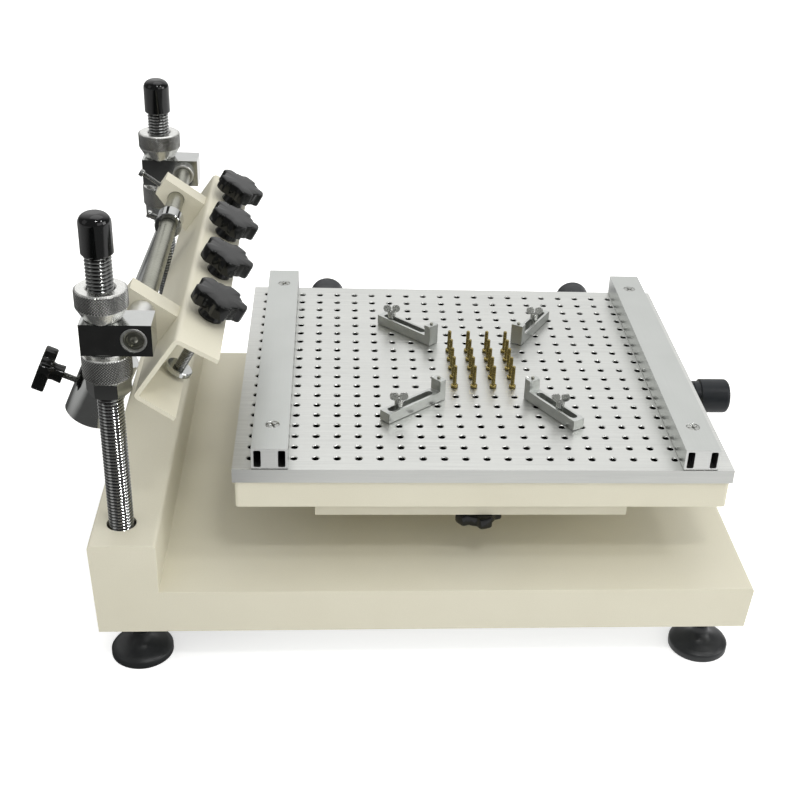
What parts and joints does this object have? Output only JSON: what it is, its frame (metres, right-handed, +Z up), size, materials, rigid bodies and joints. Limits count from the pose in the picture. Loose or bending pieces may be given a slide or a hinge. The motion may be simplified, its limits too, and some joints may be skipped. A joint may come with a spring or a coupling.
{
  "type": "solder paste stencil printer",
  "caption": "Bench stencil printer: perforated work plate on an adjustable platform beside two threaded posts that carry a pivoting frame clamp with a counterweight.",
  "frame": {"origin": "middle of the footprint, on the bench", "axes": "+Z up, +X from the posts towards the free side of the work plate, +Y away from the user"},
  "size_m": [0.5614, 0.368, 0.3346],
  "materials": {
    "cream_paint": "satin",
    "chrome": "polished",
    "knurled_steel": "satin",
    "aluminium": "satin",
    "black_plastic": "satin",
    "black_vinyl": "soft gloss",
    "brass": "polished"
  },
  "bodies": {
    "base": {"base_housing": "cream_paint", "base_bottom_plate": "knurled_steel", "post_near": "chrome", "post_far": "chrome", "post_cap_near": "black_vinyl", "post_cap_far": "black_vinyl", "pedestal": "cream_paint", "stage_plate": "cream_paint"},
    "carriage": {"block_near": "chrome", "block_far": "chrome", "pivot_bush_near": "knurled_steel", "pivot_bush_far": "knurled_steel"},
    "clamp_beam": {"frame_clamp_beam": "cream_paint", "pivot_shaft": "chrome", "gusset_screw_near": "chrome", "gusset_screw_far": "chrome"},
    "arm": {"counterweight_arm": "chrome", "collar_screw": "chrome"},
    "weight": {"counterweight": "chrome"},
    "weight_lock": {"counterweight_lock_knob": "black_plastic"},
    "x_slide": {"cross_slide": "knurled_steel"},
    "platform": {"tray": "cream_paint", "work_plate": "aluminium", "rail_left": "aluminium", "rail_right": "aluminium"},
    "platform_lock": {"platform_lock_knob": "black_plastic"},
    "nuts_near": {"upper_nut_near": "knurled_steel", "lower_nut_near": "knurled_steel", "hex_nut_near": "chrome"},
    "nuts_far": {"upper_nut_far": "knurled_steel", "lower_nut_far": "knurled_steel", "hex_nut_far": "chrome"},
    "knob_rear_left": {"adjust_knob_rear_left": "black_plastic"},
    "knob_rear_right": {"adjust_knob_rear_right": "black_plastic"},
    "knob_side": {"adjust_knob_side": "black_plastic"},
    "leveller_front_left": {"foot_front_left": "black_plastic"},
    "leveller_front_right": {"foot_front_right": "black_plastic"},
    "leveller_back_left": {"foot_back_left": "black_plastic"},
    "leveller_back_right": {"foot_back_right": "black_plastic"},
    "pad_1": {"pressure_foot_1": "chrome"},
    "knob_1": {"frame_knob_1": "black_plastic"},
    "pin_1": {"support_pin_1": "brass"},
    "pad_2": {"pressure_foot_2": "chrome"},
    "knob_2": {"frame_knob_2": "black_plastic"},
    "pin_2": {"support_pin_2": "brass"},
    "pad_3": {"pressure_foot_3": "chrome"},
    "knob_3": {"frame_knob_3": "black_plastic"},
    "pin_3": {"support_pin_3": "brass"},
    "pad_4": {"pressure_foot_4": "chrome"},
    "knob_4": {"frame_knob_4": "black_plastic"},
    "pin_4": {"support_pin_4": "brass"},
    "screw_front_left": {"wing_screw_front_left": "chrome"},
    "clamp_front_left": {"board_clamp_front_left": "aluminium"},
    "screw_front_right": {"wing_screw_front_right": "chrome"},
    "clamp_front_right": {"board_clamp_front_right": "aluminium"},
    "screw_back_left": {"wing_screw_back_left": "chrome"},
    "clamp_back_left": {"board_clamp_back_left": "aluminium"},
    "screw_back_right": {"wing_screw_back_right": "chrome"},
    "clamp_back_right": {"board_clamp_back_right": "aluminium"}
  },
  "joints": [
    {"name": "carriage_height", "type": "slide", "parent": "base", "child": "carriage", "axis": [0, 0, 1], "range_m": [0, 0.016]},
    {"name": "nuts_near_turn", "type": "hinge", "parent": "carriage", "child": "nuts_near", "pos_m": [-0.18397, -0.1532, 0.253], "axis": [0, 0, 1], "range_deg": [0, 2304]},
    {"name": "nuts_far_turn", "type": "hinge", "parent": "carriage", "child": "nuts_far", "pos_m": [-0.18397, 0.1585, 0.253], "axis": [0, 0, 1], "range_deg": [0, 2304]},
    {"name": "clamp_beam_lift", "type": "hinge", "parent": "carriage", "child": "clamp_beam", "pos_m": [-0.16417, 0.00265, 0.253], "axis": [0, -1, 0], "range_deg": [0, 80]},
    {"name": "counterweight_swing", "type": "hinge", "parent": "carriage", "child": "arm", "pos_m": [-0.16417, 0.0375, 0.253], "axis": [0, 1, 0], "range_deg": [0, 65]},
    {"name": "counterweight_slide", "type": "slide", "parent": "arm", "child": "weight", "axis": [0.3991, 0, 0.9169], "range_m": [0, 0.07]},
    {"name": "counterweight_lock_turn", "type": "hinge", "parent": "weight", "child": "weight_lock", "pos_m": [-0.22762, 0.0375, 0.10721], "axis": [-0.9169, 0, 0.3991], "range_deg": [-180, 180]},
    {"name": "pressure_foot_1_travel", "type": "slide", "parent": "clamp_beam", "child": "pad_1", "axis": [-0.4924, 0, -0.8704], "range_m": [-0.03, 0]},
    {"name": "frame_knob_1_turn", "type": "hinge", "parent": "pad_1", "child": "knob_1", "pos_m": [-0.12169, -0.11005, 0.24478], "axis": [-0.4924, 0, -0.8704], "range_deg": [-8640, 0]},
    {"name": "pressure_foot_2_travel", "type": "slide", "parent": "clamp_beam", "child": "pad_2", "axis": [-0.4924, 0, -0.8704], "range_m": [-0.03, 0]},
    {"name": "frame_knob_2_turn", "type": "hinge", "parent": "pad_2", "child": "knob_2", "pos_m": [-0.12169, -0.03855, 0.24478], "axis": [-0.4924, 0, -0.8704], "range_deg": [-8640, 0]},
    {"name": "pressure_foot_3_travel", "type": "slide", "parent": "clamp_beam", "child": "pad_3", "axis": [-0.4924, 0, -0.8704], "range_m": [-0.03, 0]},
    {"name": "frame_knob_3_turn", "type": "hinge", "parent": "pad_3", "child": "knob_3", "pos_m": [-0.12169, 0.03295, 0.24478], "axis": [-0.4924, 0, -0.8704], "range_deg": [-8640, 0]},
    {"name": "pressure_foot_4_travel", "type": "slide", "parent": "clamp_beam", "child": "pad_4", "axis": [-0.4924, 0, -0.8704], "range_m": [-0.03, 0]},
    {"name": "frame_knob_4_turn", "type": "hinge", "parent": "pad_4", "child": "knob_4", "pos_m": [-0.12169, 0.10445, 0.24478], "axis": [-0.4924, 0, -0.8704], "range_deg": [-8640, 0]},
    {"name": "platform_x", "type": "slide", "parent": "base", "child": "x_slide", "axis": [1, 0, 0], "range_m": [-0.006, 0.006]},
    {"name": "platform_y", "type": "slide", "parent": "x_slide", "child": "platform", "axis": [0, 1, 0], "range_m": [-0.006, 0.006]},
    {"name": "adjust_side_turn", "type": "hinge", "parent": "platform", "child": "knob_side", "pos_m": [0.24323, -0.009, 0.131], "axis": [1, 0, 0], "range_deg": [-2160, 2160]},
    {"name": "adjust_rear_left_turn", "type": "hinge", "parent": "platform", "child": "knob_rear_left", "pos_m": [-0.04412, 0.142, 0.131], "axis": [0, 1, 0], "range_deg": [-2160, 2160]},
    {"name": "adjust_rear_right_turn", "type": "hinge", "parent": "platform", "child": "knob_rear_right", "pos_m": [0.18188, 0.142, 0.131], "axis": [0, 1, 0], "range_deg": [-2160, 2160]},
    {"name": "platform_lock_turn", "type": "hinge", "parent": "base", "child": "platform_lock", "pos_m": [0.06673, -0.1315, 0.1057], "axis": [0, 0, 1], "range_deg": [-180, 180]},
    {"name": "foot_front_left_turn", "type": "hinge", "parent": "base", "child": "leveller_front_left", "pos_m": [-0.17507, -0.162, 0.0325], "axis": [0, 0, 1], "range_deg": [-180, 180]},
    {"name": "foot_front_right_turn", "type": "hinge", "parent": "base", "child": "leveller_front_right", "pos_m": [0.23803, -0.162, 0.0325], "axis": [0, 0, 1], "range_deg": [-180, 180]},
    {"name": "foot_back_left_turn", "type": "hinge", "parent": "base", "child": "leveller_back_left", "pos_m": [-0.17507, 0.162, 0.0325], "axis": [0, 0, 1], "range_deg": [-180, 180]},
    {"name": "foot_back_right_turn", "type": "hinge", "parent": "base", "child": "leveller_back_right", "pos_m": [0.23803, 0.162, 0.0325], "axis": [0, 0, 1], "range_deg": [-180, 180]},
    {"name": "board_clamp_front_left_swivel", "type": "hinge", "parent": "platform", "child": "screw_front_left", "pos_m": [0.00973, -0.0815, 0.152], "axis": [0, 0, 1], "range_deg": [-12, 12]},
    {"name": "board_clamp_front_left_slide", "type": "slide", "parent": "screw_front_left", "child": "clamp_front_left", "axis": [0.7547, 0.6561, 0], "range_m": [-0.01, 0.006]},
    {"name": "board_clamp_front_right_swivel", "type": "hinge", "parent": "platform", "child": "screw_front_right", "pos_m": [0.12973, -0.0815, 0.152], "axis": [0, 0, 1], "range_deg": [-12, 12]},
    {"name": "board_clamp_front_right_slide", "type": "slide", "parent": "screw_front_right", "child": "clamp_front_right", "axis": [-0.5299, 0.848, 0], "range_m": [-0.01, 0.008]},
    {"name": "board_clamp_back_left_swivel", "type": "hinge", "parent": "platform", "child": "screw_back_left", "pos_m": [0.00973, 0.0685, 0.152], "axis": [0, 0, 1], "range_deg": [-12, 12]},
    {"name": "board_clamp_back_left_slide", "type": "slide", "parent": "screw_back_left", "child": "clamp_back_left", "axis": [0.7071, -0.7071, 0], "range_m": [-0.01, 0.004]},
    {"name": "board_clamp_back_right_swivel", "type": "hinge", "parent": "platform", "child": "screw_back_right", "pos_m": [0.12973, 0.0685, 0.152], "axis": [0, 0, 1], "range_deg": [-12, 12]},
    {"name": "board_clamp_back_right_slide", "type": "slide", "parent": "screw_back_right", "child": "clamp_back_right", "axis": [-0.515, -0.8572, 0], "range_m": [-0.01, 0.008]},
    {"name": "support_pin_1_lift", "type": "slide", "parent": "platform", "child": "pin_1", "axis": [0, 0, 1], "range_m": [0, 0.009]},
    {"name": "support_pin_2_lift", "type": "slide", "parent": "platform", "child": "pin_2", "axis": [0, 0, 1], "range_m": [0, 0.009]},
    {"name": "support_pin_3_lift", "type": "slide", "parent": "platform", "child": "pin_3", "axis": [0, 0, 1], "range_m": [0, 0.009]},
    {"name": "support_pin_4_lift", "type": "slide", "parent": "platform", "child": "pin_4", "axis": [0, 0, 1], "range_m": [0, 0.009]}
  ],
  "couplings": [
    {"joint": "nuts_near_turn", "follows": "carriage_height", "rad_per_m": 2513.3},
    {"joint": "nuts_far_turn", "follows": "carriage_height", "rad_per_m": 2513.3},
    {"joint": "adjust_side_turn", "follows": "platform_x", "rad_per_m": 6283.2},
    {"joint": "adjust_rear_left_turn", "follows": "platform_y", "rad_per_m": 6283.2},
    {"joint": "adjust_rear_right_turn", "follows": "platform_y", "rad_per_m": 6283.2},
    {"joint": "frame_knob_1_turn", "follows": "pressure_foot_1_travel", "rad_per_m": 5026.5},
    {"joint": "frame_knob_2_turn", "follows": "pressure_foot_2_travel", "rad_per_m": 5026.5},
    {"joint": "frame_knob_3_turn", "follows": "pressure_foot_3_travel", "rad_per_m": 5026.5},
    {"joint": "frame_knob_4_turn", "follows": "pressure_foot_4_travel", "rad_per_m": 5026.5}
  ]
}
